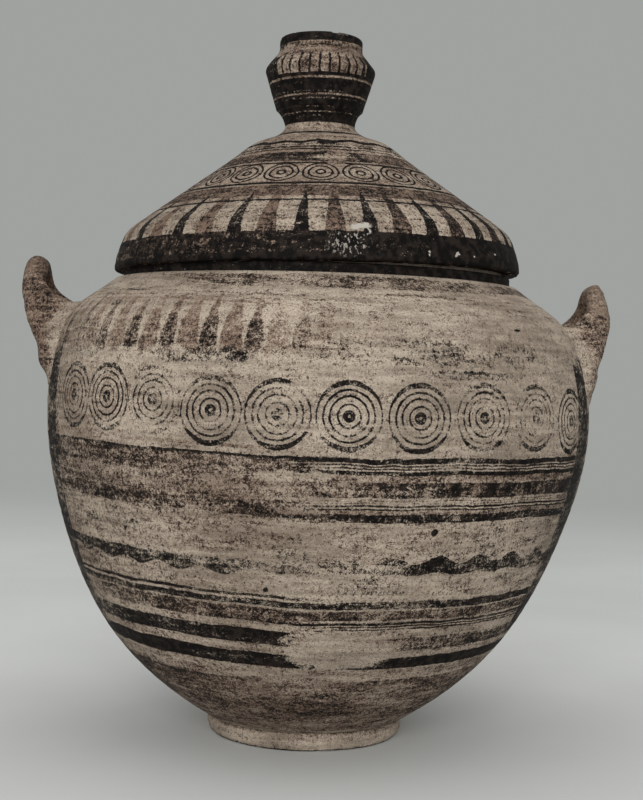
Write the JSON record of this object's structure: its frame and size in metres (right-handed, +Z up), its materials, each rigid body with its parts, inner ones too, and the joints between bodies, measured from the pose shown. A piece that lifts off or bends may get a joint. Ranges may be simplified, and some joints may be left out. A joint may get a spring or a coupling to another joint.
{
  "type": "lidded ceramic pyxis",
  "caption": "Ovoid painted storage jar on a ring foot, with upright loop handles and a conical lift-off lid whose knob is a small cup.",
  "frame": {"origin": "on the pot's axis, at the plane that the ring foot rests on", "axes": "+Z up along the pot's axis; the two loop handles stand on +X and -X"},
  "size_m": [0.4128, 0.3742, 0.482],
  "materials": {
    "painted_clay": "matt buff clay painted with brown-black and dull red slip, worn",
    "dark_slip": "matt brown-black slip, mottled and scratched",
    "bare_clay": "unpainted matt buff clay"
  },
  "bodies": {
    "pot": {"foot_ring": "bare_clay", "floor_disc": "bare_clay", "lower_wall": "painted_clay", "shoulder_wall": "painted_clay", "mouth_collar": "dark_slip", "handle_left": "painted_clay", "handle_right": "painted_clay"},
    "lid": {"lid_rim": "dark_slip", "lid_cone": "painted_clay", "lid_flange": "bare_clay", "knob_cup": "painted_clay"}
  },
  "joints": [
    {"name": "lid_lift", "type": "slide", "parent": "pot", "child": "lid", "axis": [0, 0, 1], "range_m": [0, 0.2]}
  ]
}
